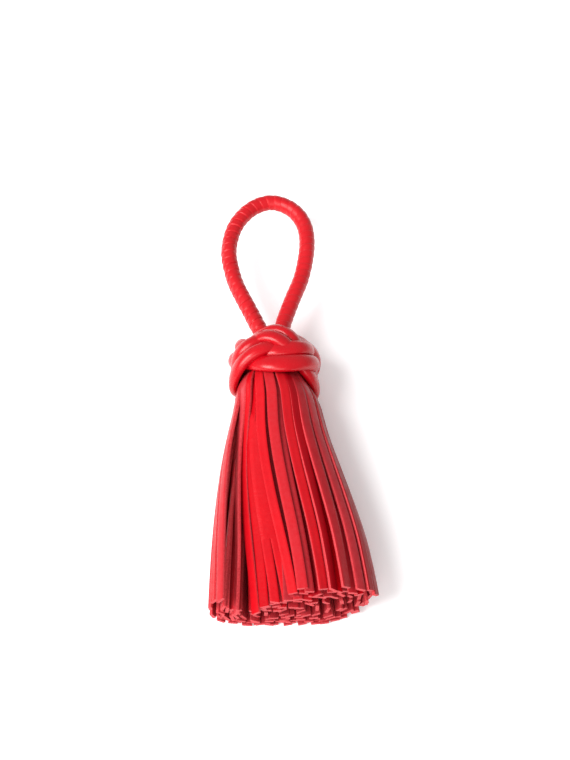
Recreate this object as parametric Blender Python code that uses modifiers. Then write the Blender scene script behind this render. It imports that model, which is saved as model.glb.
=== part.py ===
"""A red leather tassel lying on its back: a wrapped hanging loop, a woven knot and a skirt of cut strips.

Run with: blender --background --python part.py
Lengths are millimetres here and metres in the meshes. +Z is up, the loop points to +Y and the cut ends to -Y.
The origin is on the surface that the tassel lies on, under the middle of the whole tassel.
Unless a name says otherwise, a place is measured from the middle of the knot.
"""

import math
import random

import bpy
import bmesh
import numpy as np

MM = 0.001

# Middle of the knot, from the origin
KNOT_AT = (-7.05, 9.18, 15.6)

# Hanging loop: a cord wrapped in a thin leather band
LOOP_CORD = 5.6
WRAP_PITCH = 3.0
WRAP_RISE = 0.26
LOOP_SIDES = 8
LOOP_ROUTE = (
    (-3.0, 7.0),
    (-3.1, 9.4),
    (-4.4, 14.0),
    (-6.9, 19.5),
    (-11.4, 29.5),
    (-15.6, 40.5),
    (-17.3, 52.0),
    (-15.4, 63.0),
    (-9.6, 71.4),
    (-1.6, 74.9),
    (6.2, 71.9),
    (11.0, 64.5),
    (12.1, 54.0),
    (10.1, 40.5),
    (6.5, 29.5),
    (3.3, 19.5),
    (2.8, 14.0),
    (3.0, 9.4),
    (3.0, 7.0),
)

# Knot: one leather cord woven round in three leads and four bights, then followed round once more
LEADS = 3
BIGHTS = 4
CORD_WIDE = 5.6
CORD_THICK = 4.3
CORD_CORNER = 2.2
TRACK_PITCH = 5.3
# How much wider the cord and its track lie where they turn back at a rim than where they cross
RIM_WIDER = 1.28
WEAVE_REACH = 6.3
WEAVE_RISE = 1.7
WEAVE_STEEP = 1.0
KNOT_TURNED = math.radians(-15.0)
RIM_THIN = 0.6
RIM_CALM = 0.6
SURFACE_BLOCK = 60.0
TRACK_RINGS = 78
KNOT_SIDES = 10
# Steps that the weave's directions are measured over
RUN_STEP = 0.1
TURN_STEP = 0.005
# The weave's middle surface from its rim on the skirt over its dome to the loop. A run is a place on it, in
# the weave's own millimetres.
PROFILE = (
    ("run", "along", "radius"),
    (-16.0, -14.1, 14.5),
    (-9.7, -7.9, 14.1),
    (-5.0, -3.3, 13.6),
    (-1.0, 0.6, 13.0),
    (2.4, 3.8, 12.0),
    (6.0, 6.7, 10.3),
    (9.7, 8.8, 8.3),
    (13.4, 10.1, 6.0),
    (16.0, 10.7, 4.3),
)

# Head of the skirt, inside the knot: its turned outline, from the loop's side down
HEAD_OUTLINE = (
    ("along", "radius"),
    (6.5, 4.0),
    (5.4, 5.8),
    (3.6, 7.2),
    (1.5, 8.2),
    (-2.0, 8.7),
    (-6.0, 8.8),
    (-7.5, 9.4),
    (-10.5, 10.7),
)
HEAD_SIDES = 22

# Skirt of strips cut in one rolled piece of leather
STRIP_WIDE = 3.05
STRIP_THICK = 1.2
STRIP_LONG = 85.3
STRIP_STEPS = 7
STRIP_ROOT = -9.5
STRIP_DRAWN_IN = 0.87
RING_COUNTS = (22, 18, 14, 10, 7, 2)
RING_STEP = 0.165
# Outer faces of the whole skirt, from the head to the cut ends. Low and high are heights above the surface.
SKIRT = (
    ("along", "left", "right", "low", "high", "spread"),
    (-8.5, -10.9, 10.9, 4.70, 26.50, 0.00),
    (-10.5, -11.1, 11.1, 4.50, 26.70, 0.00),
    (-12.0, -12.5, 12.6, 3.10, 28.30, 0.02),
    (-14.5, -13.6, 14.6, 2.20, 29.30, 0.06),
    (-18.0, -14.4, 16.3, 1.50, 29.70, 0.12),
    (-24.0, -15.6, 18.4, 0.45, 29.70, 0.30),
    (-31.0, -17.1, 20.7, 0.00, 29.40, 0.52),
    (-44.0, -19.3, 25.1, 0.00, 28.70, 0.78),
    (-58.0, -20.5, 29.1, 0.00, 27.90, 0.92),
    (-71.0, -21.2, 32.5, 0.00, 27.00, 1.00),
    (-84.0, -21.6, 34.9, 0.00, 26.20, 1.00),
    (-98.0, -21.8, 36.4, 0.00, 25.60, 1.00),
)
SECTION_UPPER = 2.2
SECTION_LOWER = 4.0
SECTION_DROP = 1.09
SECTION_MIDDLE = -0.12
TWIST_MOST = math.radians(20)
TWIST_INNER = math.radians(5)
LENGTH_SPREAD = 0.018
SEED = 7

RED = (0.47, 0.006, 0.014, 1.0)
DARK_RED = (0.36, 0.005, 0.012, 1.0)


def columns(table):
    """The columns of a table whose first row names them, as arrays."""
    return {name: np.array([row[i] for row in table[1:]], float) for i, name in enumerate(table[0])}


def read_at(table, along, name, key="along"):
    """A column's value where the key column has this value, on a smooth line through the rows."""
    cols = columns(table)
    order = np.argsort(cols[key])
    at, value = cols[key][order], cols[name][order]
    slope = np.gradient(value, at)
    along = min(max(along, at[0]), at[-1])
    k = min(int(np.searchsorted(at, along, side="right")) - 1, len(at) - 2)
    wide = at[k + 1] - at[k]
    t = (along - at[k]) / wide
    return float(
        (2 * t**3 - 3 * t**2 + 1) * value[k]
        + (t**3 - 2 * t**2 + t) * wide * slope[k]
        + (3 * t**2 - 2 * t**3) * value[k + 1]
        + (t**3 - t**2) * wide * slope[k + 1]
    )


def smooth_route(points, per_span):
    """Points on a smooth curve through the route's own points."""
    p = [np.array(point, float) for point in points]
    p = [2 * p[0] - p[1]] + p + [2 * p[-1] - p[-2]]
    found = []
    for i in range(1, len(p) - 2):
        for k in range(per_span):
            t = k / per_span
            a = 2 * p[i]
            b = p[i + 1] - p[i - 1]
            c = 2 * p[i - 1] - 5 * p[i] + 4 * p[i + 1] - p[i + 2]
            d = -p[i - 1] + 3 * p[i] - 3 * p[i + 1] + p[i + 2]
            found.append(0.5 * (a + b * t + c * t * t + d * t**3))
    found.append(p[-2])
    return np.array(found)


def at_lengths(points, lengths):
    """The points that lie at these lengths along a line of points."""
    steps = np.linalg.norm(np.diff(points, axis=0), axis=1)
    run = np.concatenate([[0.0], np.cumsum(steps)])
    return np.stack([np.interp(lengths, run, points[:, k]) for k in range(points.shape[1])], axis=1)


def length_of(points):
    return float(np.linalg.norm(np.diff(points, axis=0), axis=1).sum())


def in_world(point):
    """A point in the knot's millimetres, in metres from the origin."""
    return [(point[k] + KNOT_AT[k]) * MM for k in range(3)]


def material(name, colour, roughness):
    made = bpy.data.materials.new(name)
    made.use_nodes = True
    shader = made.node_tree.nodes["Principled BSDF"]
    shader.inputs["Base Color"].default_value = colour
    shader.inputs["Roughness"].default_value = roughness
    return made


def add_object(name, data, collection, finish):
    made = bpy.data.objects.new(name, data)
    collection.objects.link(made)
    data.materials.append(finish)
    return made


def add_loft(shape, rings, closed=False):
    """Skins a row of rings of points, which closes on itself or has a flat cap on each end."""
    rows = [[shape.verts.new(point) for point in ring] for ring in rings]
    sides = len(rows[0])
    for low, high in zip(rows, rows[1:] + rows[:1] * closed):
        for k in range(sides):
            shape.faces.new((low[k], low[(k + 1) % sides], high[(k + 1) % sides], high[k]))
    if not closed:
        shape.faces.new(rows[0][::-1])
        shape.faces.new(rows[-1])


def loft_mesh(name, lofts, closed=False):
    """One mesh from a list of lofts, its faces turned outwards."""
    shape = bmesh.new()
    for rings in lofts:
        add_loft(shape, rings, closed)
    bmesh.ops.recalc_face_normals(shape, faces=shape.faces)
    mesh = bpy.data.meshes.new(name)
    shape.to_mesh(mesh)
    shape.free()
    return mesh


def make_loop(collection, finish):
    """The hanging loop: a tube whose radius steps down along each turn of the wrap."""
    fine = smooth_route(LOOP_ROUTE, 24)
    turns = int(length_of(fine) / WRAP_PITCH)
    pitch = length_of(fine) / turns
    lengths = []
    radii = []
    for turn in range(turns):
        lengths += [turn * pitch, (turn + 0.88) * pitch]
        radii += [1.0, 1.0 - 2 * WRAP_RISE / LOOP_CORD]
    lengths.append(turns * pitch)
    radii.append(1.0)
    places = at_lengths(fine, lengths)
    data = bpy.data.curves.new("loop", "CURVE")
    data.dimensions = "3D"
    data.twist_mode = "Z_UP"
    data.bevel_depth = LOOP_CORD / 2 * MM
    data.bevel_resolution = (LOOP_SIDES - 4) // 2
    data.use_fill_caps = True
    spline = data.splines.new("POLY")
    spline.points.add(len(places) - 1)
    for point, place, radius in zip(spline.points, places, radii):
        point.co = (*in_world((place[0], place[1], 0.0)), 1.0)
        point.radius = radius
        point.tilt = math.pi / LOOP_SIDES
    return add_object("loop", data, collection, finish)


def at_rim(turn):
    """1 where the cord turns back at a rim of the knot, and near 0 where it crosses."""
    return math.sin(BIGHTS * turn) ** 4


def wider(turn):
    return 1 + (RIM_WIDER - 1) * at_rim(turn)


def weave_point(turn, side):
    """Angle round the tassel, run along the profile and layer of one side of the doubled track."""
    middle = read_at(PROFILE, WEAVE_REACH * math.sin(BIGHTS * turn), "radius", "run")
    slope_round = LEADS * middle
    slope_along = BIGHTS * WEAVE_REACH * math.cos(BIGHTS * turn)
    size = math.hypot(slope_round, slope_along)
    aside = side * TRACK_PITCH / 2 * wider(turn)
    angle = LEADS * turn + KNOT_TURNED - aside * slope_along / size / middle
    run = WEAVE_REACH * math.sin(BIGHTS * turn) + aside * slope_round / size
    wave = math.tanh(WEAVE_STEEP * math.sin(2 * BIGHTS * turn)) / math.tanh(WEAVE_STEEP)
    return angle, run, -wave * (1 - RIM_CALM * at_rim(turn))


def profile_at(run):
    """Place along, radius, outward way and steepness of the weave's middle surface."""
    along, radius = (read_at(PROFILE, run, name, "run") for name in ("along", "radius"))
    slopes = []
    for name in ("along", "radius"):
        after = read_at(PROFILE, run + RUN_STEP, name, "run")
        before = read_at(PROFILE, run - RUN_STEP, name, "run")
        slopes.append((after - before) / RUN_STEP / 2)
    slope_along, slope_radius = slopes
    pressed = math.hypot(slope_along, slope_radius)
    return along, radius, slope_along / pressed, -slope_radius / pressed, pressed


def cord_place(turn, side):
    """The middle of the knot's cord, its outward way and how closely the weave is pressed there."""
    angle, run, layer = weave_point(turn, side)
    along, radius, radial, axial, pressed = profile_at(run)
    radius += WEAVE_RISE * layer * radial
    along += WEAVE_RISE * layer * axial
    place = np.array([radius * math.sin(angle), along, radius * math.cos(angle)])
    out = np.array([radial * math.sin(angle), axial, radial * math.cos(angle)])
    return place, out, pressed


def track_rings(side):
    """Sections of the knot's cord along one side of its doubled track, which closes on itself."""
    rings = []
    for k in range(TRACK_RINGS):
        turn = 2 * math.pi * k / TRACK_RINGS
        here, out, pressed = cord_place(turn, side)
        ahead = cord_place(turn + TURN_STEP, side)[0] - cord_place(turn - TURN_STEP, side)[0]
        ahead /= np.linalg.norm(ahead)
        out -= ahead * (out @ ahead)
        out /= np.linalg.norm(out)
        across = np.cross(ahead, out)
        half_wide = CORD_WIDE / 2 * wider(turn) * min(1.0, pressed)
        half_thick = (CORD_THICK - RIM_THIN * at_rim(turn)) / 2
        ring = []
        for n in range(KNOT_SIDES):
            a = 2 * math.pi * (n + 0.5) / KNOT_SIDES
            c, s = math.cos(a), math.sin(a)
            reach = (abs(c) ** CORD_CORNER + abs(s) ** CORD_CORNER) ** (-1 / CORD_CORNER)
            place = here + across * (half_wide * reach * c) + out * (half_thick * reach * s)
            ring.append(in_world(place))
        rings.append(ring)
    return rings


def outer_shell(obj):
    """The object's evaluated mesh with the pockets closed inside it filled: only its largest shell stays."""
    graph = bpy.context.evaluated_depsgraph_get()
    mesh = bpy.data.meshes.new_from_object(obj.evaluated_get(graph))
    shape = bmesh.new()
    shape.from_mesh(mesh)
    left = set(shape.faces)
    shells = []
    while left:
        found = [left.pop()]
        shell = list(found)
        while found:
            for edge in found.pop().edges:
                if len(edge.link_faces) != 2:
                    continue
                for face in edge.link_faces:
                    if face in left:
                        left.discard(face)
                        shell.append(face)
                        found.append(face)
        shells.append(shell)
    shells.sort(key=len)
    inner = [face for shell in shells[:-1] for face in shell]
    bmesh.ops.delete(shape, geom=inner, context="FACES")
    shape.to_mesh(mesh)
    shape.free()
    return mesh


def make_knot(collection, helpers, finish):
    """The two tracks of the cord pressed into one another where they cross, as one solid."""
    tracks = []
    for name, side in (("first_track", -1), ("second_track", 1)):
        track = loft_mesh(name, [track_rings(side)], closed=True)
        tracks.append(add_object(name, track, helpers, finish))
    first, second = tracks
    for track in (first, second):
        track.hide_render = True
        track.display_type = "WIRE"
    pressed = first.modifiers.new("pressed", "BOOLEAN")
    pressed.operation = "UNION"
    pressed.use_self = True
    pressed.object = second
    knot = add_object("knot", outer_shell(first), collection, finish)
    bpy.ops.mesh.primitive_cube_add(size=SURFACE_BLOCK * MM)
    surface = bpy.context.object
    surface.name = "surface_under_knot"
    surface.location = (KNOT_AT[0] * MM, KNOT_AT[1] * MM, -SURFACE_BLOCK / 2 * MM)
    surface.hide_render = True
    surface.display_type = "WIRE"
    for home in list(surface.users_collection):
        home.objects.unlink(surface)
    helpers.objects.link(surface)
    flat = knot.modifiers.new("flat_spot", "BOOLEAN")
    flat.operation = "DIFFERENCE"
    flat.object = surface
    return knot


def section_outline():
    """The skirt's outline at its cut ends, in half widths and half heights, at equal steps of real length."""
    half_wide = (read_at(SKIRT, -84.0, "right") - read_at(SKIRT, -84.0, "left")) / 2
    half_high = read_at(SKIRT, -84.0, "high") / 2
    outline = []
    for k in range(721):
        a = 2 * math.pi * k / 720
        x, z = math.sin(a), math.cos(a)
        power = SECTION_UPPER if z >= 0 else SECTION_LOWER
        reach = (abs(x) ** power + abs(z) ** power) ** (-1 / power)
        low = max(-1.0, z * reach * (SECTION_DROP if z < 0 else 1.0))
        outline.append((x * reach, low))
    outline = np.array(outline)
    real = outline * (half_wide, half_high)
    steps = np.linalg.norm(np.diff(real, axis=0), axis=1)
    run = np.concatenate([[0.0], np.cumsum(steps)])
    return run / run[-1], outline


SECTION = section_outline()


def skirt_place(along, around, depth):
    """Where a strip's middle lies: around is a share of a turn, depth is 1 at the skirt's surface."""
    share, outline = SECTION
    turn = around % 1.0
    end = np.array([np.interp(turn, share, outline[:, k]) for k in range(2)])
    middle = np.array([0.0, SECTION_MIDDLE])
    end = middle + depth * (end - middle)
    root = depth * np.array([math.sin(2 * math.pi * around), math.cos(2 * math.pi * around)])
    spread = read_at(SKIRT, along, "spread")
    place = (1 - spread) * root + spread * end
    left, right = read_at(SKIRT, along, "left"), read_at(SKIRT, along, "right")
    low, high = read_at(SKIRT, along, "low"), read_at(SKIRT, along, "high")
    half_wide = (right - left) / 2 - STRIP_THICK / 2
    half_high = (high - low) / 2 - STRIP_THICK / 2
    x = (left + right) / 2 + half_wide * place[0]
    z = (low + high) / 2 + half_high * place[1] - KNOT_AT[2]
    return np.array([x, along, z])


def strip_rings(around, depth, twist, long, drift):
    """Sections of one strip, from inside the head to its cut end."""
    alongs = np.linspace(STRIP_ROOT, STRIP_ROOT - 1.06 * long, 60)
    share = np.linspace(0, 1, 60)
    fine = np.array([skirt_place(a, around + drift * s, depth) for a, s in zip(alongs, share)])
    lengths = long * np.linspace(0, 1, STRIP_STEPS + 1) ** 1.15
    places = at_lengths(fine, lengths)
    rings = []
    for k, here in enumerate(places):
        grown = lengths[k] / long
        back, on = places[max(k - 1, 0)], places[min(k + 1, STRIP_STEPS)]
        turn = around + drift * grown
        wide = skirt_place(here[1], turn + 0.004, depth) - skirt_place(here[1], turn - 0.004, depth)
        ahead = (on - back) / np.linalg.norm(on - back)
        wide -= ahead * (wide @ ahead)
        wide /= np.linalg.norm(wide)
        out = np.cross(ahead, wide)
        angle = twist * grown**1.5
        across = wide * math.cos(angle) + out * math.sin(angle)
        face = out * math.cos(angle) - wide * math.sin(angle)
        half_wide = STRIP_WIDE / 2 * (STRIP_DRAWN_IN + (1 - STRIP_DRAWN_IN) * min(1.0, grown / 0.15))
        ring = []
        for u, v in ((-1, -1), (1, -1), (1, 1), (-1, 1)):
            corner = in_world(here + across * (u * half_wide) + face * (v * STRIP_THICK / 2))
            ring.append((corner[0], corner[1], max(corner[2], 0.0)))
        rings.append(ring)
    return rings


def all_strips():
    """Every strip of the skirt, ring by ring from the outside in, with its own length, twist and drift."""
    rng = random.Random(SEED)
    strips = []
    for ring, count in enumerate(RING_COUNTS):
        depth = 1 - ring * RING_STEP
        start = rng.random() / count
        for k in range(count):
            around = start + k / count
            under = 0.30 < around % 1.0 < 0.70
            most = TWIST_INNER if ring or under else TWIST_MOST
            twist = 0.0 if under else most * (2 * rng.random() - 1)
            long = STRIP_LONG * (1 + LENGTH_SPREAD * (2 * rng.random() - 1))
            drift = 0.0 if under else 0.30 * (rng.random() - 0.5) / count
            strips.append(strip_rings(around, depth, twist, long, drift))
    return strips


def make_fringe(collection, helpers, finish):
    """The turned head, with a union that fuses every strip's root into it."""
    head = columns(HEAD_OUTLINE)
    shape = bmesh.new()
    points = [(0.0, head["along"][0])] + list(zip(head["radius"], head["along"])) + [(0.0, head["along"][-1])]
    verts = [shape.verts.new((radius * MM, 0.0, along * MM)) for radius, along in points]
    for above, below in zip(verts, verts[1:]):
        shape.edges.new((above, below))
    mesh = bpy.data.meshes.new("fringe")
    shape.to_mesh(mesh)
    shape.free()
    fringe = add_object("fringe", mesh, collection, finish)
    fringe.location = in_world((0.0, 0.0, 0.0))
    fringe.rotation_euler = (math.radians(-90), 0.0, 0.0)
    turned = fringe.modifiers.new("turned", "SCREW")
    turned.axis = "Z"
    turned.steps = HEAD_SIDES
    turned.render_steps = HEAD_SIDES
    turned.use_merge_vertices = True
    turned.merge_threshold = 0.00005
    strips = add_object("strips", loft_mesh("strips", all_strips()), helpers, finish)
    strips.hide_render = True
    strips.display_type = "WIRE"
    rooted = fringe.modifiers.new("rooted", "BOOLEAN")
    rooted.operation = "UNION"
    rooted.object = strips
    return fringe


def main():
    for obj in list(bpy.data.objects):
        bpy.data.objects.remove(obj)
    tassel = bpy.data.collections.new("leather_tassel")
    helpers = bpy.data.collections.new("cutters")
    for collection in (tassel, helpers):
        bpy.context.scene.collection.children.link(collection)
    helpers.hide_render = True
    make_loop(tassel, material("loop_leather", RED, 0.42))
    make_knot(tassel, helpers, material("knot_leather", RED, 0.38))
    make_fringe(tassel, helpers, material("strip_leather", DARK_RED, 0.45))


main()
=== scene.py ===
"""The looks of a red leather tassel lying on its back.

It has a wrapped loop, a woven knot and a skirt of strips. Lengths are millimetres here and metres in the
meshes. A place is measured from the middle of the knot. The layout follows the one that the solids were made
with, but the skirt has more strips, its head is a little wider, and the forms are finer.
"""

import math
import random

import bmesh
import bpy
import numpy as np
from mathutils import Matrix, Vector

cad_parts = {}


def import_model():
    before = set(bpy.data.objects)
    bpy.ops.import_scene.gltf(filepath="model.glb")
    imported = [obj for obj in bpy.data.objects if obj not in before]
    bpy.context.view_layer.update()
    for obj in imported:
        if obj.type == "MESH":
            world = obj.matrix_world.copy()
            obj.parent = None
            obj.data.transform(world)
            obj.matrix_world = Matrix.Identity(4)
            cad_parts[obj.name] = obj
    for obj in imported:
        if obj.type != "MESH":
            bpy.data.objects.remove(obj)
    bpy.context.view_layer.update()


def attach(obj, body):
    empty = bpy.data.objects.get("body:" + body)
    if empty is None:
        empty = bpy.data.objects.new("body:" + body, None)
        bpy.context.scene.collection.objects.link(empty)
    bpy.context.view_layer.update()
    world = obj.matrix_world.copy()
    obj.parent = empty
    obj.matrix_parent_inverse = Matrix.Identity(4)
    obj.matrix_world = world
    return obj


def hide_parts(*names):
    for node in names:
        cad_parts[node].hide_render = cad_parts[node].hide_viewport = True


MM = 0.001
# Distance in metres at which points are one
MERGED = 1e-7
# Steps in each span of a smooth route
ROUTE_STEPS = 24

# Middle of the knot, from the origin
KNOT_AT = np.array((-7.05, 9.18, 15.6))

# Hanging loop: a cord wrapped in a thin leather band
LOOP_CORD = 5.95
WRAP_PITCH = 3.0
WRAP_RISE = 0.20
LOOP_ROUTE = (
    (-2.9, 7.0),
    (-3.0, 9.4),
    (-4.3, 14.0),
    (-6.9, 19.5),
    (-11.4, 29.5),
    (-15.6, 40.5),
    (-17.3, 52.0),
    (-15.4, 63.0),
    (-9.6, 71.7),
    (-1.6, 75.3),
    (6.2, 72.2),
    (11.0, 64.5),
    (12.1, 54.0),
    (10.1, 40.5),
    (6.5, 29.5),
    (3.3, 19.5),
    (2.7, 14.0),
    (2.9, 9.4),
    (2.9, 7.0),
)
LOOP_SIDES = 40
# How far along the loop its direction is read
LOOP_STEP = 0.3
# How unevenly the turns lean and rise
WRAP_LEAN = 0.10
WRAP_RISE_LEAST = 0.75
WRAP_RISE_SPREAD = 0.5
# How much the wrap's radius swells round the cord, and how much it drifts from turn to turn
WRAP_SWELL = 0.05
WRAP_LOBES = 3
WRAP_DRIFT = 0.04
WRAP_DRIFT_TURN = 0.9
# Where the rows of a turn of the wrap lie, as shares of its pitch, and how low each is, as a share of
# the rise
WRAP_ROWS = (
    ("share", "low"),
    (0.00, 0.75),
    (0.03, 0.08),
    (0.09, 0.0),
    (0.28, 0.06),
    (0.50, 0.22),
    (0.72, 0.50),
    (0.90, 0.85),
    (0.97, 1.0),
)

# Knot: one leather cord woven round in three leads and four bights, then followed round once more
LEADS = 3
BIGHTS = 4
CORD_WIDE = 5.6
CORD_THICK = 4.3
CORD_CORNER = 2.2
TRACK_PITCH = 5.3
# How much wider the cord and its track lie where they turn back at a rim than where they cross
RIM_WIDER = 1.28
WEAVE_REACH = 6.3
WEAVE_RISE = 1.7
WEAVE_STEEP = 1.0
KNOT_TURNED = math.radians(-15.0)
RIM_THIN = 0.6
RIM_CALM = 0.6
TRACK_RINGS = 420
KNOT_SIDES = 36
# How far along its run and its turn the weave's direction is read
RUN_STEP = 0.1
TURN_STEP = 0.003
# The weave's middle surface from its rim on the skirt over its dome to the loop, and its run in the weave's
# own millimetres
PROFILE = (
    ("run", "along", "radius"),
    (-16.0, -14.1, 15.0),
    (-9.7, -7.9, 14.6),
    (-5.0, -3.3, 14.1),
    (-1.0, 0.6, 13.5),
    (2.4, 3.8, 12.6),
    (6.0, 6.7, 10.9),
    (9.7, 8.8, 8.7),
    (13.4, 10.1, 6.0),
    (16.0, 10.7, 4.3),
)

# Head: the rolled root of the skirt inside the knot
HEAD_SIDES = 64
HEAD_OUTLINE = (
    ("along", "radius"),
    (6.6, 4.4),
    (5.4, 7.4),
    (3.6, 9.0),
    (1.5, 10.0),
    (-2.0, 10.6),
    (-6.0, 10.6),
    (-9.0, 10.7),
    (-12.0, 10.9),
)

# Skirt of strips cut in one rolled piece of leather
STRIP_WIDE = 3.1
STRIP_THICK = 1.2
STRIP_STEPS = 44
STRIP_ROOT = -7.5
STRIP_DRAWN_IN = 0.94
STRIP_CHAMFER = 0.12
# Rings with the full number of steps along their strips, and the fewest steps that a piece of strip has
FINE_RINGS = 2
STEPS_LEAST = 8
# A strip is double from this width on, and then roots deeper
DOUBLE_WIDE = 1.5 * STRIP_WIDE
DOUBLE_DEEPER = 0.09
# Points on the line that a strip's length is measured on, and how far its directions are read, across as a
# share of a turn and along as a share of its length
STRIP_POINTS = 200
ACROSS_STEP = 0.004
ALONG_STEP = 0.004
# How a strip's twist, fold and parting grow along it, and by which share of its length it has its full roll
# and width
TWIST_POWER = 1.5
FOLD_POWER = 4
PARTED_POWER = 1.3
ROLL_FULL = 0.3
WIDTH_FULL = 0.15
# Waves of a strip's wander, how far its phase shifts them, and the slant of a parted half's cut end
WANDER_WAVES = 1.3
WANDER_SHIFT = 6
PARTED_SLANT = 1.4
# Share of the way round between which the strips lie under the skirt, and how loose they are there
UNDER_FROM = 0.27
UNDER_TO = 0.73
UNDER_LOOSE = 0.25
# Rings of strips from the outside in: how many, how deep they root and end as shares of the skirt's half
# thickness, and the first strip's way round, in degrees from the top
RINGS = (
    ("count", "root", "end", "first"),
    (28, 1.00, 1.00, -92.0),
    (28, 0.87, 0.945, -88.0),
    (24, 0.74, 0.86, -3.0),
    (20, 0.62, 0.75, 7.0),
    (17, 0.50, 0.63, 0.0),
    (12, 0.38, 0.46, 12.0),
    (8, 0.26, 0.32, 5.0),
    (4, 0.13, 0.17, 40.0),
)
# Outer faces of the skirt. Low and high are heights above the surface. Fanned and settled are the shares of
# the way that the strips have gone, across and down, from their round root to their section at the cut ends.
SKIRT = (
    ("along", "left", "right", "low", "high", "fanned", "settled"),
    (-7.5, -12.1, 11.3, 4.30, 26.90, 0.00, 0.00),
    (-9.0, -12.7, 11.8, 3.80, 27.50, 0.00, 0.00),
    (-10.5, -13.2, 12.6, 3.20, 28.40, 0.00, 0.00),
    (-12.0, -13.5, 13.5, 2.60, 29.00, 0.01, 0.03),
    (-14.5, -14.0, 14.8, 2.10, 29.50, 0.03, 0.08),
    (-18.0, -14.4, 16.3, 1.50, 29.70, 0.05, 0.15),
    (-24.0, -15.5, 17.7, 0.45, 29.70, 0.12, 0.32),
    (-31.0, -16.9, 19.2, 0.00, 29.40, 0.21, 0.55),
    (-44.0, -18.9, 22.9, 0.00, 28.70, 0.37, 0.82),
    (-58.0, -20.2, 27.0, 0.00, 27.90, 0.54, 0.95),
    (-71.0, -21.0, 30.3, 0.00, 27.00, 0.71, 1.00),
    (-84.0, -21.5, 32.5, 0.00, 26.20, 0.87, 1.00),
    (-98.0, -21.8, 34.2, 0.00, 25.60, 1.00, 1.00),
)
SKIRT_END = -94.0
SECTION_UPPER = 2.2
SECTION_LOWER = 3.0
SECTION_DROP = 1.09
SECTION_MIDDLE = -0.12
# Strips on the skirt's upper side: their ring and order in it, way round at the root in degrees, place across
# and height at the cut end, how far across they bend at last, width, twist in degrees at the end, length past
# the others, fold, creases, darkness of the dye with painted shade, and strength of the painted sheen
FRONT_STRIPS = (
    (
        "ring",
        "order",
        "root",
        "across",
        "height",
        "bend",
        "wide",
        "twist",
        "longer",
        "fold",
        "creased",
        "tone",
        "worn",
    ),
    (0, 0, -86, -19.7, 0.5, 0.0, 3.4, -6, -0.9, 0.0, 0, 0.40, 0.05),
    (0, 1, -70, -17.2, 4.2, 0.0, 3.3, 10, 0.3, 0.0, 0, 0.40, 0.30),
    (0, 2, -54, -12.4, -0.8, -2.6, 3.4, 10, 2.0, -0.4, 0, 0.30, 0.55),
    (0, 3, -44, -5.6, -1.0, 0.6, 3.3, -4, 2.4, 0.2, 0, 0.15, 0.05),
    (0, 4, -24, 7.0, 8.3, 0.6, 3.2, 14, 0.2, 0.0, 0, 0.10, 0.10),
    (0, 5, -8, 9.9, 10.6, 0.0, 3.6, 8, -0.4, 0.0, 0, 0.25, 0.25),
    (0, 6, 10, 16.6, 10.8, 0.0, 3.2, -18, 0.4, 0.0, 0, 0.20, 0.10),
    (0, 7, 22, 19.6, 10.6, 0.0, 2.9, -34, 0.8, 0.0, 0, 0.85, 0.0),
    (0, 8, 33, 24.0, 10.6, 0.0, 3.6, -30, 0.3, 0.0, 0, 0.70, 0.20),
    (0, 9, 48, 29.0, 8.0, 0.0, 3.3, -6, 0.6, 0.0, 0, 0.70, 0.35),
    (0, 10, 66, 32.2, 6.0, 0.0, 3.1, -14, 0.2, 0.0, 0, 0.90, 0.0),
    (0, 11, 84, 34.0, 3.4, 0.4, 2.9, -8, 0.9, 0.0, 0, 0.85, 0.0),
    (1, 0, -84, -18.0, -6.0, 0.0, 3.4, 20, 1.0, -1.3, 0, 0.70, 0.20),
    (1, 1, -63, -15.4, -3.0, 0.0, 3.6, -6, 0.4, 0.0, 0, 0.95, 0.0),
    (1, 2, -54, -12.8, -7.5, -1.5, 3.3, 10, 0.6, 0.0, 0, 0.95, 0.0),
    (1, 3, -40, -2.8, 1.6, 0.0, 3.2, 0, 1.2, 0.0, 0, 0.35, 0.0),
    (1, 4, -33, 2.9, 3.8, 1.8, 6.2, -6, 0.6, 0.0, 1, 0.10, 0.10),
    (1, 5, -16, 7.4, 5.4, 0.0, 3.1, 30, 0.0, 0.0, 0, 0.90, 0.30),
    (1, 6, 0, 12.2, 9.6, 0.0, 3.1, -4, 0.4, 0.0, 0, 0.75, 0.30),
    (1, 7, 14, 14.4, 7.6, 0.0, 3.1, 34, 0.7, 0.0, 0, 0.95, 0.0),
    (1, 8, 27, 21.4, 8.6, 0.0, 3.1, -20, 0.7, 0.0, 0, 0.20, 0.0),
    (1, 9, 41, 26.4, 6.6, 0.0, 3.1, 12, 1.0, 0.0, 0, 0.70, 0.20),
    (1, 10, 57, 28.4, 5.0, 0.0, 3.1, 20, 0.8, 0.0, 0, 0.30, 0.0),
    (1, 11, 75, 31.2, -2.6, 0.0, 3.1, -6, 0.6, 0.0, 0, 0.90, 0.0),
)
# Where the skirt lies parted: the place across at the cut ends, and how far the strips keep from it
PARTING = -9.3
PARTING_WIDE = 2.7
PARTING_LOW = -9.0
# Top of the skirt at its cut ends, which lies lower on the left than its outline, and its lowest part that
# keeps its height
TOP_SIDE = (
    ("across", "height"),
    (-22.0, -1.0),
    (-17.0, 2.0),
    (-12.0, -3.0),
    (-6.0, -1.0),
    (-2.0, 2.0),
    (3.0, 4.5),
    (7.0, 8.0),
    (11.0, 9.8),
    (20.0, 9.8),
    (26.0, 8.5),
    (34.0, 4.0),
)
TOP_KEPT = -13.0
# Right of this place across, the cut ends run aslant by this much
ASLANT_FROM = 18.0
ASLANT = 0.2
# How late a strip's bend across comes
BEND_POWER = 4
# Where the one double strip parts into two, as a share of its length, and how far they part
STRIP_PARTS = 0.74
STRIP_PARTED = 1.1
# Where the creases begin on the strip that has them, as a share of its length
CREASED_FROM = 0.35
TWIST_MOST = 18.0
TWIST_INNER = 8.0
END_SPREAD = 0.6
SEED = 7
# Points on the outline of the skirt's section
OUTLINE_POINTS = 1441
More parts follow.
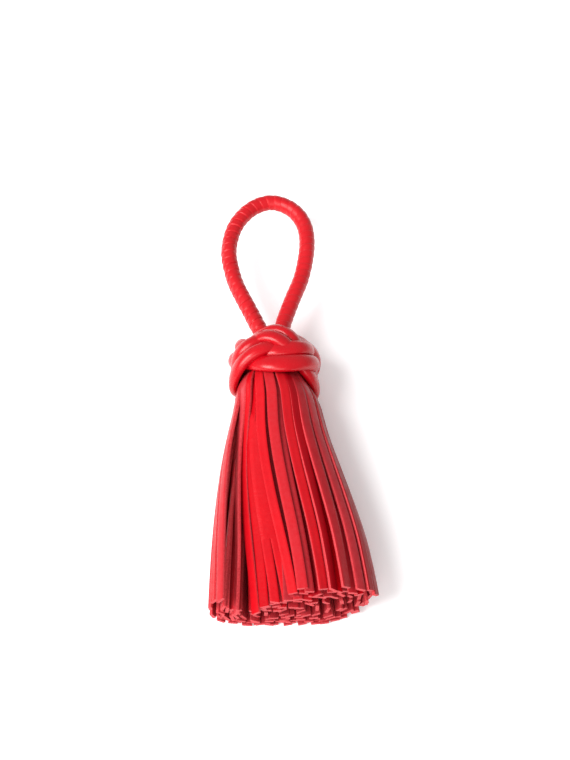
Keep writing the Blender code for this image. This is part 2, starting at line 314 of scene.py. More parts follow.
# Corners of a strip's section: how many, the middle of its outer face, and which sides are flesh or cut
SECTION_CORNERS = 12
FACE_MIDDLE = 7
FLESH_SIDES = (0, 1)
CUT_SIDES = (3, 10, 11)
# Edges of the strips that turn by more than this are sharp
SHARP = math.radians(50)
# The strips' materials, by their place in the mesh
FACE_SLOT = 0
EDGE_SLOT = 1
FLESH_SLOT = 2
END_SLOT = 3
# How far apart the creases' pattern is taken for strips of another tone
TONE_APART = 40

# Leather: how many to a metre of the dye's clouds, the painted sheen's spots, the grain's waver, its pebbles,
# its specks and the patches of shine
CLOUDS = 130.0
SHEEN_SPOTS = 700.0
WAVER = 1400.0
PEBBLES = 2300.0
SPECKS = 5200.0
SHINE_PATCHES = 420.0
# Reach of the waver, and depth of the grain, the creases and the fibres, in metres
WAVER_REACH = 0.0003
GRAIN_DEEP = 0.00005
CREASE_DEEP = 0.0006
FIBRE_DEEP = 0.0001
FIBRES = 1900.0
# How strongly the strips' tone darkens the dye, partly at random and partly as painted shade, and how
# strongly the pebbles show
TONE_AND_SHADE_SHARE = 0.85
GRAIN_SHARE = 0.35
# Colour laid along the grooves between the grain's pebbles
GROOVE_DARK = (0.14, 0.0, 0.004, 1.0)
GLEAM = (1.0, 0.72, 0.70, 1.0)
# Light and dark dye of each leather
LOOP_DYE = ((0.55, 0.006, 0.012, 1.0), (0.42, 0.001, 0.006, 1.0))
KNOT_DYE = ((0.50, 0.002, 0.008, 1.0), (0.36, 0.001, 0.006, 1.0))
STRIP_DYE = ((0.58, 0.001, 0.006, 1.0), (0.22, 0.001, 0.005, 1.0))
# Pale pink mixed into the strips' faces: a painted sheen, standing for the white room's reflection on strips
# at a slant
STRIP_SHEEN = (0.52, 0.075, 0.09, 1.0)
EDGE_DYE = ((0.64, 0.05, 0.06, 1.0), (0.40, 0.005, 0.012, 1.0))
FLESH_DYE = ((0.42, 0.008, 0.016, 1.0), (0.26, 0.003, 0.008, 1.0))
END_DYE = ((0.62, 0.05, 0.06, 1.0), (0.38, 0.006, 0.012, 1.0))

# The floor glows a little, though it is no lamp: a painted glow that lightens the shadows on it. Its side is
# in metres.
FLOOR_SIDE = 6.0
FLOOR_GLOW = 0.15
FLOOR_PALE = ((0.93, 0.93, 0.94, 1.0), (0.95, 0.95, 0.95, 1.0))

# Lights, in metres and watts
WORLD_LIGHT = 0.48
LIGHT_AIM = (0.0, -0.02, 0.0)
LIGHT_SIZE = 0.9
KEY_AT = (-0.78, -0.36, 0.95)
KEY_POWER = 23.0
FILL_AT = (-0.10, -1.0, 0.70)
FILL_POWER = 7.0

# Camera: tilt from straight down towards the cut ends, distance to the middle of the knot, and that middle's
# place right of and above the middle of the picture
CAMERA_TILT = math.radians(32.5)
CAMERA_FAR = 600.0
CAMERA_SEES = 274.0
CAMERA_ASIDE = (-3.8, 4.7)
SENSOR = 36.0


def columns(table):
    """The columns of a table whose first row names them, as arrays."""
    return {name: np.array([row[i] for row in table[1:]], float) for i, name in enumerate(table[0])}


def smooth_read(table, name, key="along"):
    """A function that reads a column along the tassel, on a smooth line through the table's rows."""
    cols = columns(table)
    order = np.argsort(cols[key])
    at, value = cols[key][order], cols[name][order]
    slope = np.gradient(value, at)

    def read(along):
        along = np.clip(np.asarray(along, float), at[0], at[-1])
        k = np.clip(np.searchsorted(at, along, side="right") - 1, 0, len(at) - 2)
        wide = at[k + 1] - at[k]
        t = (along - at[k]) / wide
        return (
            (2 * t**3 - 3 * t**2 + 1) * value[k]
            + (t**3 - 2 * t**2 + t) * wide * slope[k]
            + (3 * t**2 - 2 * t**3) * value[k + 1]
            + (t**3 - t**2) * wide * slope[k + 1]
        )

    return read


def smooth_route(points, per_span):
    """Points on a smooth curve through the route's own points."""
    p = [np.array(point, float) for point in points]
    p = [2 * p[0] - p[1]] + p + [2 * p[-1] - p[-2]]
    found = []
    for i in range(1, len(p) - 2):
        for k in range(per_span):
            t = k / per_span
            a = 2 * p[i]
            b = p[i + 1] - p[i - 1]
            c = 2 * p[i - 1] - 5 * p[i] + 4 * p[i + 1] - p[i + 2]
            d = -p[i - 1] + 3 * p[i] - 3 * p[i + 1] + p[i + 2]
            found.append(0.5 * (a + b * t + c * t * t + d * t**3))
    found.append(p[-2])
    return np.array(found)


def run_of(points):
    steps = np.linalg.norm(np.diff(points, axis=0), axis=1)
    return np.concatenate([[0.0], np.cumsum(steps)])


def at_lengths(points, lengths):
    """The points that lie at these lengths along a line of points."""
    run = run_of(points)
    return np.stack([np.interp(lengths, run, points[:, k]) for k in range(points.shape[1])], axis=-1)


def unit(vectors):
    return vectors / np.linalg.norm(vectors, axis=-1, keepdims=True)


def in_world(points):
    """Points in the knot's millimetres, in metres from the origin."""
    return (np.asarray(points, float) + KNOT_AT) * MM


def new_object(name, mesh, *materials):
    made = bpy.data.objects.new(name, mesh)
    bpy.context.scene.collection.objects.link(made)
    for material in materials:
        mesh.materials.append(material)
    return made


def add_loft(shape, rings, closed=False):
    """Skins a row of rings of points and returns its rows of faces."""
    rows = [[shape.verts.new(point) for point in ring] for ring in rings]
    sides = len(rows[0])
    faces = []
    for low, high in zip(rows, rows[1:] + rows[:1] * closed):
        row = []
        for k in range(sides):
            on = (k + 1) % sides
            row.append(shape.faces.new((low[k], low[on], high[on], high[k])))
        faces.append(row)
    caps = []
    if not closed:
        caps = [shape.faces.new(rows[0][::-1]), shape.faces.new(rows[-1])]
    return faces, caps


# Materials


class Nodes:
    """Adds nodes to a material and joins them, with fewer words."""

    def __init__(self, name):
        self.material = bpy.data.materials.new(name)
        self.material.use_nodes = True
        self.tree = self.material.node_tree
        self.shader = self.tree.nodes["Principled BSDF"]

    def add(self, kind, **settings):
        node = self.tree.nodes.new("ShaderNode" + kind)
        for name, value in settings.items():
            setattr(node, name, value)
        return node

    def join(self, output, socket):
        self.tree.links.new(output, socket)

    def value(self, node, name, value):
        node.inputs[name].default_value = value

    def noise(self, coords, scale, detail=3.0, rough=0.55):
        node = self.add("TexNoise")
        self.join(coords, node.inputs["Vector"])
        self.value(node, "Scale", scale)
        self.value(node, "Detail", detail)
        self.value(node, "Roughness", rough)
        return node.outputs["Fac"]

    def spread(self, value, low, high, to_low=0.0, to_high=1.0):
        node = self.add("MapRange", clamp=True)
        self.join(value, node.inputs["Value"])
        self.value(node, "From Min", low)
        self.value(node, "From Max", high)
        self.value(node, "To Min", to_low)
        self.value(node, "To Max", to_high)
        return node.outputs["Result"]

    def math(self, operation, first, second):
        node = self.add("Math", operation=operation)
        for socket, value in zip(node.inputs, (first, second)):
            if isinstance(value, (int, float)):
                socket.default_value = value
            else:
                self.join(value, socket)
        return node.outputs["Value"]

    def mix(self, share, first, second):
        node = self.add("Mix", data_type="RGBA")
        for socket, value in zip((node.inputs[0], node.inputs[6], node.inputs[7]), (share, first, second)):
            if isinstance(value, (int, float, tuple)):
                socket.default_value = value
            else:
                self.join(value, socket)
        return node.outputs[2]

    def bump(self, height, strength, distance, under=None):
        node = self.add("Bump")
        self.join(height, node.inputs["Height"])
        self.value(node, "Strength", strength)
        self.value(node, "Distance", distance)
        if under is not None:
            self.join(under, node.inputs["Normal"])
        return node.outputs["Normal"]


def leather(name, dye, rough, gloss, worn=None, uneven=0.45, grain=0.5, creases=0.0):
    """Dyed smooth leather: fine pebbled grain, uneven dye with painted shade, a painted sheen and gloss, and
    creases where it was bent.
    """
    n = Nodes(name)
    coords = n.add("TexCoord").outputs["Object"]
    # The tone darkens the dye: at random on most strips, and as painted shade on listed strips that lie in
    # shade or face away from the light
    tone = n.add("Attribute", attribute_name="tone").outputs["Fac"]
    clouds = n.noise(coords, CLOUDS, 4.0)
    patches = n.math("ADD", n.spread(clouds, 0.30, 0.70, 0.0, uneven), n.math("MULTIPLY", tone, TONE_AND_SHADE_SHARE))
    colour = n.mix(n.spread(patches, 0.0, 1.0), *dye)
    # Painted sheen: a pale pink mixed in by each strip's share of it, in patchy spots
    if worn:
        sheen_share = n.add("Attribute", attribute_name="worn").outputs["Fac"]
        spotty_sheen = n.spread(n.noise(coords, SHEEN_SPOTS, 4.0, 0.6), 0.30, 0.66, 0.6, 1.0)
        colour = n.mix(n.math("MULTIPLY", sheen_share, spotty_sheen), colour, worn)
    cells = n.add("TexVoronoi", feature="DISTANCE_TO_EDGE")
    bent = n.add("VectorMath", operation="ADD")
    fine = n.add("TexNoise")
    n.join(coords, fine.inputs["Vector"])
    n.value(fine, "Scale", WAVER)
    shifted = n.add("VectorMath", operation="SCALE")
    n.join(fine.outputs["Color"], shifted.inputs[0])
    n.value(shifted, "Scale", WAVER_REACH)
    n.join(coords, bent.inputs[0])
    n.join(shifted.outputs[0], bent.inputs[1])
    n.join(bent.outputs[0], cells.inputs["Vector"])
    n.value(cells, "Scale", PEBBLES)
    pebbles = n.spread(cells.outputs["Distance"], 0.0, 0.22)
    speck = n.noise(coords, SPECKS, 2.0)
    # Darker along the grooves between the grain's pebbles
    grooves_darker = n.mix(n.spread(cells.outputs["Distance"], 0.02, 0.09, 0.16, 0.0), colour, GROOVE_DARK)
    n.join(grooves_darker, n.shader.inputs["Base Color"])
    shine = n.spread(n.noise(coords, SHINE_PATCHES), 0.3, 0.7, rough - 0.06, rough + 0.09)
    n.join(shine, n.shader.inputs["Roughness"])
    n.value(n.shader, "Specular IOR Level", gloss)
    n.value(n.shader, "Specular Tint", GLEAM)
    height = n.math("ADD", pebbles, n.math("MULTIPLY", speck, 0.5))
    normal = n.bump(height, grain * GRAIN_SHARE, GRAIN_DEEP)
    if creases:
        along = n.add("Mapping")
        n.join(n.add("UVMap", uv_map="run").outputs["UV"], along.inputs["Vector"])
        n.value(along, "Scale", (2.4, 1.1, 1.0))
        folds = n.add("TexNoise")
        n.join(along.outputs["Vector"], folds.inputs["Vector"])
        n.value(folds, "Scale", 1.0)
        n.value(folds, "Detail", 2.0)
        n.value(folds, "Distortion", 1.6)
        bends = n.spread(folds.outputs["Fac"], 0.32, 0.68)
        creased = n.add("Attribute", attribute_name="creased").outputs["Fac"]
        share = n.spread(creased, 0.0, 1.0, 0.10, 1.0)
        normal = n.bump(n.math("MULTIPLY", bends, share), creases, CREASE_DEEP, normal)
    n.join(normal, n.shader.inputs["Normal"])
    return n.material


def cut_edge(name, dye):
    """The raw cut edge of leather: paler, rough and fibrous along its length."""
    n = Nodes(name)
    coords = n.add("TexCoord").outputs["Object"]
    fibres = n.noise(coords, FIBRES, 5.0, 0.7)
    colour = n.mix(n.spread(fibres, 0.35, 0.7), *dye)
    n.join(colour, n.shader.inputs["Base Color"])
    n.value(n.shader, "Roughness", 0.72)
    n.join(n.bump(fibres, 0.5, FIBRE_DEEP), n.shader.inputs["Normal"])
    return n.material


def floor_finish():
    n = Nodes("pale_floor")
    coords = n.add("TexCoord").outputs["Object"]
    mottle = n.noise(coords, 3.0, 2.0)
    colour = n.mix(mottle, *FLOOR_PALE)
    n.join(colour, n.shader.inputs["Base Color"])
    n.value(n.shader, "Roughness", 0.6)
    n.value(n.shader, "Specular IOR Level", 0.2)
    # Painted glow, which lightens the shadows on the floor
    n.value(n.shader, "Emission Strength", FLOOR_GLOW)
    return n.material


# Wrapped loop


def make_wrapped_loop(material):
    """The cord of the loop in its leather band, whose turns overlap like scales along a helix."""
    route = smooth_route(LOOP_ROUTE, ROUTE_STEPS)
    route = np.column_stack([route, np.zeros(len(route))])
    whole = run_of(route)[-1]
    turns = int(whole / WRAP_PITCH)
    pitch = whole / turns
    rows = columns(WRAP_ROWS)
    per_turn = len(rows["share"])
    rng = random.Random(SEED)
    # One more turn starts before the route and one after it, so that the wrap's slanting rows reach both ends
    lean = [WRAP_LEAN * (rng.random() - 0.5) for _ in range(turns + 3)]
    rise = [WRAP_RISE * (WRAP_RISE_LEAST + WRAP_RISE_SPREAD * rng.random()) for _ in range(turns + 3)]
    shape = bmesh.new()
    run = shape.loops.layers.uv.new("run")
    grid = []
    facts = []
    for i in range(-per_turn, (turns + 1) * per_turn):
        turn, row = divmod(i, per_turn)
        ring = []
        for j in range(LOOP_SIDES):
            around = j / LOOP_SIDES
            phase = turn + rows["share"][row] + around
            bent = phase + lean[turn + 1] * math.sin(2 * math.pi * around)
            length = min(max(bent * pitch, 0.0), whole)
            here, back, on = at_lengths(route, length + np.array([0.0, -LOOP_STEP, LOOP_STEP]))
            ahead = unit(on - back)
            side = np.array([-ahead[1], ahead[0], 0.0])
            angle = 2 * math.pi * around
            radius = LOOP_CORD / 2 - rise[turn + 1] * rows["low"][row]
            radius += WRAP_SWELL * math.sin(WRAP_LOBES * angle + turn)
            radius += WRAP_DRIFT * math.sin(WRAP_DRIFT_TURN * turn + angle)
            place = here + radius * (side * math.cos(angle) + np.array([0.0, 0.0, 1.0]) * math.sin(angle))
            ring.append(shape.verts.new(in_world(place)))
        grid.append(ring)
        facts.append((turn, rows["share"][row]))
    for i in range(len(grid) - 1):
        share = facts[i][1], (facts[i + 1][1] or 1.0)
        for j in range(LOOP_SIDES):
            if j < LOOP_SIDES - 1:
                corners = grid[i][j], grid[i][j + 1], grid[i + 1][j + 1], grid[i + 1][j]
            elif i + per_turn + 1 < len(grid):
                corners = grid[i][j], grid[i + per_turn][0], grid[i + per_turn + 1][0], grid[i + 1][j]
            else:
                continue
            face = shape.faces.new(corners)
            face.smooth = True
            places = (
                (j / LOOP_SIDES, share[0]),
                ((j + 1) / LOOP_SIDES, share[0]),
                ((j + 1) / LOOP_SIDES, share[1]),
                (j / LOOP_SIDES, share[1]),
            )
            for loop, (u, v) in zip(face.loops, places):
                loop[run].uv = (u + facts[i][0], v)
    bmesh.ops.remove_doubles(shape, verts=shape.verts, dist=MERGED)
    bmesh.ops.dissolve_degenerate(shape, edges=shape.edges, dist=MERGED)
    bmesh.ops.holes_fill(shape, edges=[e for e in shape.edges if e.is_boundary], sides=0)
    bmesh.ops.recalc_face_normals(shape, faces=shape.faces)
    mesh = bpy.data.meshes.new("wrapped_loop")
    shape.to_mesh(mesh)
    shape.free()
    return new_object("wrapped_loop", mesh, material)


# Knot

PROFILE_ALONG = smooth_read(PROFILE, "along", "run")
PROFILE_RADIUS = smooth_read(PROFILE, "radius", "run")


def at_rim(turn):
    """1 where the cord turns back at a rim of the knot, and near 0 where it crosses."""
    return np.sin(BIGHTS * turn) ** 4


def wider(turn):
    return 1 + (RIM_WIDER - 1) * at_rim(turn)


def weave_point(turn, side):
    """Angle round the tassel, run along the profile and layer of the cord, on one side of its track."""
    middle = PROFILE_RADIUS(WEAVE_REACH * np.sin(BIGHTS * turn))
    slope_round = LEADS * middle
    slope_along = BIGHTS * WEAVE_REACH * np.cos(BIGHTS * turn)
    size = np.hypot(slope_round, slope_along)
    aside = side * TRACK_PITCH / 2 * wider(turn)
    angle = LEADS * turn + KNOT_TURNED - aside * slope_along / size / middle
    run = WEAVE_REACH * np.sin(BIGHTS * turn) + aside * slope_round / size
    wave = np.tanh(WEAVE_STEEP * np.sin(2 * BIGHTS * turn)) / math.tanh(WEAVE_STEEP)
    return angle, run, -wave * (1 - RIM_CALM * at_rim(turn))


def cord_place(turn, side):
    """The middle of the knot's cord, its outward way and how closely the weave is pressed there."""
    angle, run, layer = weave_point(turn, side)
    slope_along = (PROFILE_ALONG(run + RUN_STEP) - PROFILE_ALONG(run - RUN_STEP)) / (2 * RUN_STEP)
    slope_radius = (PROFILE_RADIUS(run + RUN_STEP) - PROFILE_RADIUS(run - RUN_STEP)) / (2 * RUN_STEP)
    pressed = np.hypot(slope_along, slope_radius)
    radial, axial = slope_along / pressed, -slope_radius / pressed
    radius = PROFILE_RADIUS(run) + WEAVE_RISE * layer * radial
    along = PROFILE_ALONG(run) + WEAVE_RISE * layer * axial
    place = np.stack([radius * np.sin(angle), along, radius * np.cos(angle)], axis=-1)
    out = np.stack([radial * np.sin(angle), axial, radial * np.cos(angle)], axis=-1)
    return place, out, pressed


def track_rings(side):
    """Sections of the knot's cord along one side of its doubled track, which closes on itself."""
    turn = np.linspace(0, 2 * math.pi, TRACK_RINGS, endpoint=False)
    here, out, pressed = cord_place(turn, side)
    ahead = unit(cord_place(turn + TURN_STEP, side)[0] - cord_place(turn - TURN_STEP, side)[0])
    out = unit(out - ahead * np.sum(out * ahead, axis=1, keepdims=True))
    across = np.cross(ahead, out)
    half_wide = CORD_WIDE / 2 * wider(turn) * np.minimum(1.0, pressed)
    half_thick = (CORD_THICK - RIM_THIN * at_rim(turn)) / 2
    a = 2 * math.pi * (np.arange(KNOT_SIDES) + 0.5) / KNOT_SIDES
    c, s = np.cos(a), np.sin(a)
    reach = (np.abs(c) ** CORD_CORNER + np.abs(s) ** CORD_CORNER) ** (-1 / CORD_CORNER)
    wide = half_wide[:, None] * reach * c
    thick = half_thick[:, None] * reach * s
    rings = here[:, None] + across[:, None] * wide[..., None] + out[:, None] * thick[..., None]
    rings = in_world(rings)
    rings[..., 2] = np.maximum(rings[..., 2], 0.0)
    return rings


def make_knot_cords(material):
    shape = bmesh.new()
    run = shape.loops.layers.uv.new("run")
    for side in (-1, 1):
        faces, _ = add_loft(shape, track_rings(side), closed=True)
        for i, row in enumerate(faces):
            for j, face in enumerate(row):
                face.smooth = True
                places = ((i, j), (i, j + 1), (i + 1, j + 1), (i + 1, j))
                for loop, (u, v) in zip(face.loops, places):
                    loop[run].uv = (u / TRACK_RINGS + side, v / KNOT_SIDES)
    bmesh.ops.recalc_face_normals(shape, faces=shape.faces)
    mesh = bpy.data.meshes.new("knot_cords")
    shape.to_mesh(mesh)
    shape.free()
    return new_object("knot_cords", mesh, material)


# Skirt

READ_SKIRT = {name: smooth_read(SKIRT, name) for name in SKIRT[0][1:]}


def section_outline():
    """The skirt's outline at its cut ends, in half widths and half heights, at equal steps of real length."""
    half_wide = (READ_SKIRT["right"](SKIRT_END) - READ_SKIRT["left"](SKIRT_END)) / 2
    half_high = READ_SKIRT["high"](SKIRT_END) / 2
    a = np.linspace(-math.pi, math.pi, OUTLINE_POINTS)
    x, z = np.sin(a), np.cos(a)
    power = np.where(z >= 0, SECTION_UPPER, SECTION_LOWER)
    reach = (np.abs(x) ** power + np.abs(z) ** power) ** (-1 / power)
    low = np.maximum(-1.0, z * reach * np.where(z < 0, SECTION_DROP, 1.0))
    outline = np.stack([x * reach, low], axis=1)
    run = run_of(outline * (half_wide, half_high))
    return run / run[-1] - 0.5, outline


OUTLINE_SHARE, OUTLINE = section_outline()


def outline_at(share):
    turn = (np.asarray(share) + 0.5) % 1.0 - 0.5
    return np.stack([np.interp(turn, OUTLINE_SHARE, OUTLINE[:, k]) for k in range(2)], axis=-1)


SECTION_CENTRE = np.array([0.0, SECTION_MIDDLE])
TOP_AT = smooth_read(TOP_SIDE, "height", "across")


def section_measures(along):
    """The skirt's middle and its strips' half reach, across and up, at a place along it."""
    read = {name: column(along) for name, column in READ_SKIRT.items()}
    middle = (read["left"] + read["right"]) / 2, (read["low"] + read["high"]) / 2 - KNOT_AT[2]
    half = (read["right"] - read["left"] - STRIP_THICK) / 2, (read["high"] - read["low"] - STRIP_THICK) / 2
    return middle, half, read["fanned"], read["settled"]


def end_at(across, height):
    """A place in the section at the cut ends, in half widths and half heights from its middle."""
    middle, half, _, _ = section_measures(SKIRT_END)
    return np.array([(across - middle[0]) / half[0], (height - middle[1]) / half[1]])


def share_of(end):
    """The share of the outline in whose direction a place in the section lies."""
    from_centre = end - SECTION_CENTRE
    outline = OUTLINE - SECTION_CENTRE
    match = outline @ from_centre / np.linalg.norm(outline, axis=1)
    return float(OUTLINE_SHARE[np.argmax(match)])


def skirt_place(along, strip, beside=0.0):
    """Where a strip's middle lies, or a place a share of a turn beside it."""
    root_turn = 2 * math.pi * (strip["root"] + beside)
    at_root = strip["root_depth"] * np.array([math.sin(root_turn), math.cos(root_turn)])
    step = outline_at(strip["end_share"] + beside) - outline_at(strip["end_share"])
    at_end = strip["end"] + strip["end_depth"] * step
    middle, half, fanned, settled = section_measures(along)
    x = middle[0] + half[0] * ((1 - fanned) * at_root[0] + fanned * at_end[0])
    x = x + strip["bend"] * (fanned**BEND_POWER - fanned)
    z = middle[1] + half[1] * ((1 - settled) * at_root[1] + settled * at_end[1])
    return np.stack([x, along, z], axis=-1)


def strip_section(wide, thick, cup):
    """Corners of a strip's section, across and outwards, from the left of its flesh side round."""
    w, t, c = wide / 2, thick / 2, STRIP_CHAMFER
    flat = (
        (-w + c, -t),
        (0.0, -t),
        (w - c, -t),
        (w, -t + c),
        (w, t - c),
        (w - c, t),
        (w / 2, t),
        (0.0, t),
        (-w / 2, t),
        (-w + c, t),
        (-w, t - c),
        (-w, -t + c),
    )
    return np.array([(x, z + cup * (1 - (x / w) ** 2)) for x, z in flat])


def strip_lofts(strip):
    """Rings of one strip from the head to its cut end, or of a double strip and the two it parts into."""
    if strip["wide"] < DOUBLE_WIDE:
        return [strip_rings(strip, 0.0, 1.0, 0)]
    whole = strip_rings(strip, 0.0, STRIP_PARTS, 0)
    return [whole] + [strip_rings(strip, STRIP_PARTS, 1.0, part) for part in (-1, 1)]


def strip_rings(strip, first, last, part):
    """Sections of a strip between two shares of its length. Part is its left or right half, or 0 for all."""
    alongs = np.linspace(STRIP_ROOT, strip["cut"], STRIP_POINTS)
    fine = skirt_place(alongs, strip)
    length = run_of(fine)[-1]
    steps = max(STEPS_LEAST, round(strip["steps"] * (last - first)))
    grown = np.linspace(first, last, steps + 1)
    places = at_lengths(fine, length * grown)
    wide = skirt_place(places[:, 1], strip, ACROSS_STEP) - skirt_place(places[:, 1], strip, -ACROSS_STEP)
    before, after = (at_lengths(fine, length * (grown + step)) for step in (-ALONG_STEP, ALONG_STEP))
    ahead = unit(after - before)
    wide = unit(wide - ahead * np.sum(wide * ahead, axis=1, keepdims=True))
    out = np.cross(ahead, wide)
    swing = strip["roll"] * np.sin(2 * math.pi * (grown * strip["waves"] + strip["phase"]))
    angle = np.radians(strip["twist"] * grown**TWIST_POWER + swing * np.minimum(1, grown / ROLL_FULL))
    across = wide * np.cos(angle)[:, None] + out * np.sin(angle)[:, None]
    face = out * np.cos(angle)[:, None] - wide * np.sin(angle)[:, None]
    drawn = STRIP_DRAWN_IN + (1 - STRIP_DRAWN_IN) * np.minimum(1.0, grown / WIDTH_FULL)
    wander = strip["wander"] * np.sin(math.pi * grown * WANDER_WAVES + strip["phase"] * WANDER_SHIFT) * grown
    parted = np.maximum(0, (grown - STRIP_PARTS) / (1 - STRIP_PARTS)) ** PARTED_POWER
    aside = wander + part * (strip["wide"] / 4 * drawn + STRIP_PARTED / 2 * parted)
    places = places + across * aside[:, None]
    share = 0.5 if part else 1.0
    rings = []
    for k, here in enumerate(places):
        cup = strip["cup"] + strip["fold"] * grown[k] ** FOLD_POWER
        section = strip_section(strip["wide"] * share * drawn[k], strip["thick"], cup)
        ring = here + section[:, :1] * across[k] + section[:, 1:] * face[k]
        if grown[k] == 1.0:
            slant = strip["slant"] - PARTED_SLANT * part
            ring = ring + ahead[k] * section[:, :1] / strip["wide"] * slant
        ring = in_world(ring)
        ring[:, 2] = np.maximum(ring[:, 2], 0.0)
        rings.append(ring)
    return rings


def end_place(end):
    """How far across and up a place in the section at the cut ends is."""
    middle, half, _, _ = section_measures(SKIRT_END)
    return middle[0] + half[0] * end[0], middle[1] + half[1] * end[1]


def under_top(end):
    """A place in the section at the cut ends, lowered with the top of the skirt."""
    across, height = end_place(end)
    upper = OUTLINE[OUTLINE[:, 1] > SECTION_MIDDLE]
    outline_top = end_place(np.array([0.0, np.interp(end[0], upper[:, 0], upper[:, 1])]))[1]
    lowered = (TOP_AT(across) - TOP_KEPT) / (outline_top - TOP_KEPT)
    if height > TOP_KEPT:
        height = TOP_KEPT + (height - TOP_KEPT) * min(1.0, float(lowered))
    return end_at(across, height)


def out_of_parting(end):
    """A place in the section at the cut ends, moved aside where the skirt lies parted."""
    across, height = end_place(end)
    if abs(across - PARTING) < PARTING_WIDE and height > PARTING_LOW:
        across = PARTING + math.copysign(PARTING_WIDE, across - PARTING)
    return end_at(across, height)


def shortened(strip):
    """How much less far along a strip reaches for lying aslant."""
    root, end = (skirt_place(along, strip) for along in (STRIP_ROOT, SKIRT_END))
    return float((end[0] - root[0]) ** 2 / 2 / (STRIP_ROOT - SKIRT_END))


def all_strips():
    """Every strip of the rolled skirt, ring by ring from the outside in, and how it lies."""
    rng = random.Random(SEED)
    ring_table = columns(RINGS)
    front = columns(FRONT_STRIPS)
    strips = []
    for ring, count in enumerate(ring_table["count"].astype(int)):
        root_depth, end_depth = ring_table["root"][ring], ring_table["end"][ring]
        known = {int(front["order"][k]): k for k in np.flatnonzero(front["ring"] == ring)}
        for order in range(count):
            if known:
                last = max(known)
                from_root, to_root = front["root"][known[last]], front["root"][known[0]] + 360
                from_end, to_end = (
                    share_of(end_at(front["across"][k], front["height"][k])) for k in (known[last], known[0])
                )
                share = (order - last) / (count - last)
                root = (from_root + (to_root - from_root) * share) / 360
                end_share = from_end + (to_end + 1 - from_end) * share
            else:
                root = end_share = ring_table["first"][ring] / 360 + order / count
            end = SECTION_CENTRE + end_depth * (outline_at(end_share) - SECTION_CENTRE)
            end = out_of_parting(under_top(end))
            under = UNDER_FROM < end_share % 1.0 < UNDER_TO
            loose = UNDER_LOOSE if under else 1.0
            strip = {
                "root": root,
                "root_depth": root_depth,
                "end": end,
                "end_share": end_share,
                "end_depth": end_depth,
                "cut": END_SPREAD * (2 * rng.random() - 1),
                "twist": (TWIST_INNER if ring else TWIST_MOST) * (2 * rng.random() - 1) * (not under),
                "wide": STRIP_WIDE * (0.94 + 0.12 * rng.random()),
                "thick": STRIP_THICK * (0.92 + 0.13 * rng.random()),
                "roll": 5.0 * loose * (rng.random() - 0.5),
                "waves": 0.8 + 0.8 * rng.random(),
                "phase": rng.random(),
                "wander": 0.3 * loose * (rng.random() - 0.5),
                "cup": 0.2 * (rng.random() - 0.4) * loose,
                "slant": 1.2 * (rng.random() - 0.5),
                "fold": 0.0,
                "bend": 0.0,
                "tone": 0.15 + 0.75 * rng.random(),
                # The painted sheen is spread at random over the strips not listed
                "worn": 0.5 * rng.random(),
                "creased": 0.0,
                "steps": STRIP_STEPS if ring < FINE_RINGS else STRIP_STEPS // 2,
            }
            if order in known:
                k = known[order]
                strip["root"] = front["root"][k] / 360
                strip["end"] = end_at(front["across"][k], front["height"][k])
                strip["end_share"] = share_of(strip["end"])
                strip["cut"] = -front["longer"][k]
                for name in ("bend", "wide", "twist", "fold", "creased", "tone", "worn"):
                    strip[name] = front[name][k]
                if strip["wide"] > DOUBLE_WIDE:
                    strip["root_depth"] -= DOUBLE_DEEPER
            else:
                across, _ = end_place(strip["end"])
                strip["cut"] += ASLANT * max(0.0, across - ASLANT_FROM)
            strip["cut"] += SKIRT_END + shortened(strip)
            strips.append(strip)
    return strips


def side_slot(side):
    if side in FLESH_SIDES:
        return FLESH_SLOT
    return EDGE_SLOT if side in CUT_SIDES else FACE_SLOT


def make_skirt(face_leather, edge_leather, flesh_leather, end_leather):
    """Every strip of the skirt in one mesh, with its face, its cut edges and its flesh side."""
    shape = bmesh.new()
    run = shape.loops.layers.uv.new("run")
    tone = shape.faces.layers.float.new("tone")
    creased = shape.faces.layers.float.new("creased")
    worn = shape.faces.layers.float.new("worn")
    for strip in all_strips():
        for rings in strip_lofts(strip):
            faces, caps = add_loft(shape, rings)
            lengths = run_of(np.array([ring[FACE_MIDDLE] for ring in rings]) / MM)
            for i, row in enumerate(faces):
                for j, face in enumerate(row):
                    face.smooth = True
                    # Each face carries its strip's tone, which is partly painted shade, and its share of
                    # painted sheen
                    face[tone] = strip["tone"]
                    face[creased] = strip["creased"] * max(0.0, lengths[i] / lengths[-1] - CREASED_FROM)
                    face[worn] = strip["worn"]
                    face.material_index = side_slot(j)
                    places = ((j, i), (j + 1, i), (j + 1, i + 1), (j, i + 1))
                    for loop, (u, v) in zip(face.loops, places):
                        loop[run].uv = (u / SECTION_CORNERS + strip["tone"] * TONE_APART, lengths[v])
            for cap in caps:
                cap.material_index = END_SLOT
                cap[tone] = strip["tone"]
    bmesh.ops.recalc_face_normals(shape, faces=shape.faces)
    mesh = bpy.data.meshes.new("skirt_strips")
    shape.to_mesh(mesh)
    shape.free()
    made = new_object("skirt_strips", mesh, face_leather, edge_leather, flesh_leather, end_leather)
    mesh.set_sharp_from_angle(angle=SHARP)
    return made


def make_head(material):
    """The rolled root of the skirt inside the knot, as one plain turned form."""
    outline = columns(HEAD_OUTLINE)
    shape = bmesh.new()
    rings = []
    angles = 2 * math.pi * np.arange(HEAD_SIDES) / HEAD_SIDES
    for along, radius in zip(outline["along"], outline["radius"]):
        level = np.full(HEAD_SIDES, along)
        ring = np.stack([radius * np.sin(angles), level, radius * np.cos(angles)], axis=1)
        rings.append(in_world(ring))
    add_loft(shape, rings)
    bmesh.ops.recalc_face_normals(shape, faces=shape.faces)
    mesh = bpy.data.meshes.new("skirt_head")
    shape.to_mesh(mesh)
    shape.free()
    return new_object("skirt_head", mesh, material)


# Floor, light and camera


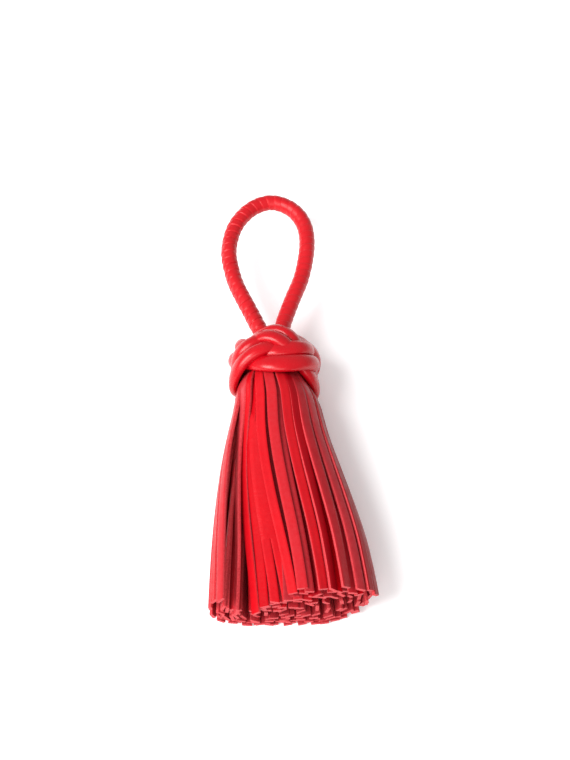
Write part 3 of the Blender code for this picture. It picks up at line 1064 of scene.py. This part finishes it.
def make_floor():
    bpy.ops.mesh.primitive_plane_add(size=FLOOR_SIDE)
    floor = bpy.context.object
    floor.name = "floor"
    floor.data.materials.append(floor_finish())


def add_light(name, place, power):
    data = bpy.data.lights.new(name, "AREA")
    data.shape = "DISK"
    data.size = LIGHT_SIZE
    data.energy = power
    made = bpy.data.objects.new(name, data)
    bpy.context.scene.collection.objects.link(made)
    made.location = place
    made.rotation_euler = (Vector(LIGHT_AIM) - Vector(place)).to_track_quat("-Z", "Y").to_euler()


def light_scene():
    world = bpy.data.worlds.new("studio")
    bpy.context.scene.world = world
    world.use_nodes = True
    back = world.node_tree.nodes["Background"]
    back.inputs["Color"].default_value = (1.0, 1.0, 1.0, 1.0)
    back.inputs["Strength"].default_value = WORLD_LIGHT
    add_light("key", KEY_AT, KEY_POWER)
    add_light("front_fill", FILL_AT, FILL_POWER)
    bpy.context.scene.view_settings.view_transform = "Standard"
    bpy.context.scene.view_settings.look = "None"


def place_camera():
    """Looks down at the tassel from its cut ends' side, as the photograph does."""
    data = bpy.data.cameras.new("camera")
    data.sensor_width = SENSOR
    data.lens = SENSOR * CAMERA_FAR / CAMERA_SEES
    data.clip_start = 0.01
    data.clip_end = 20.0
    made = bpy.data.objects.new("camera", data)
    bpy.context.scene.collection.objects.link(made)
    up = np.array([0.0, math.cos(CAMERA_TILT), math.sin(CAMERA_TILT)])
    back = np.array([0.0, -math.sin(CAMERA_TILT), math.cos(CAMERA_TILT)])
    right = np.array([1.0, 0.0, 0.0])
    place = back * CAMERA_FAR - right * CAMERA_ASIDE[0] - up * CAMERA_ASIDE[1]
    made.location = in_world(place)
    made.rotation_euler = (CAMERA_TILT, 0.0, 0.0)
    bpy.context.scene.camera = made


def main():
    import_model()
    place_camera()
    light_scene()
    make_floor()
    loop_leather = leather("wrap_leather", LOOP_DYE, rough=0.36, gloss=0.45)
    knot_leather = leather("cord_leather", KNOT_DYE, rough=0.25, gloss=0.5, grain=0.3)
    face_leather = leather(
        "strip_leather",
        STRIP_DYE,
        rough=0.36,
        gloss=0.16,
        worn=STRIP_SHEEN,
        uneven=0.14,
        grain=0.6,
        creases=0.22,
    )
    edge_leather = cut_edge("strip_edge", EDGE_DYE)
    flesh_leather = cut_edge("strip_flesh", FLESH_DYE)
    end_leather = cut_edge("strip_end", END_DYE)
    pieces = (
        (make_wrapped_loop(loop_leather), "loop", "loop_leather"),
        (make_knot_cords(knot_leather), "knot", "knot_leather"),
        (make_skirt(face_leather, edge_leather, flesh_leather, end_leather), "fringe", "strip_leather"),
        (make_head(flesh_leather), "fringe", "strip_leather"),
    )
    for piece, node, slot in pieces:
        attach(piece, "root")
        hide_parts(node)


main()
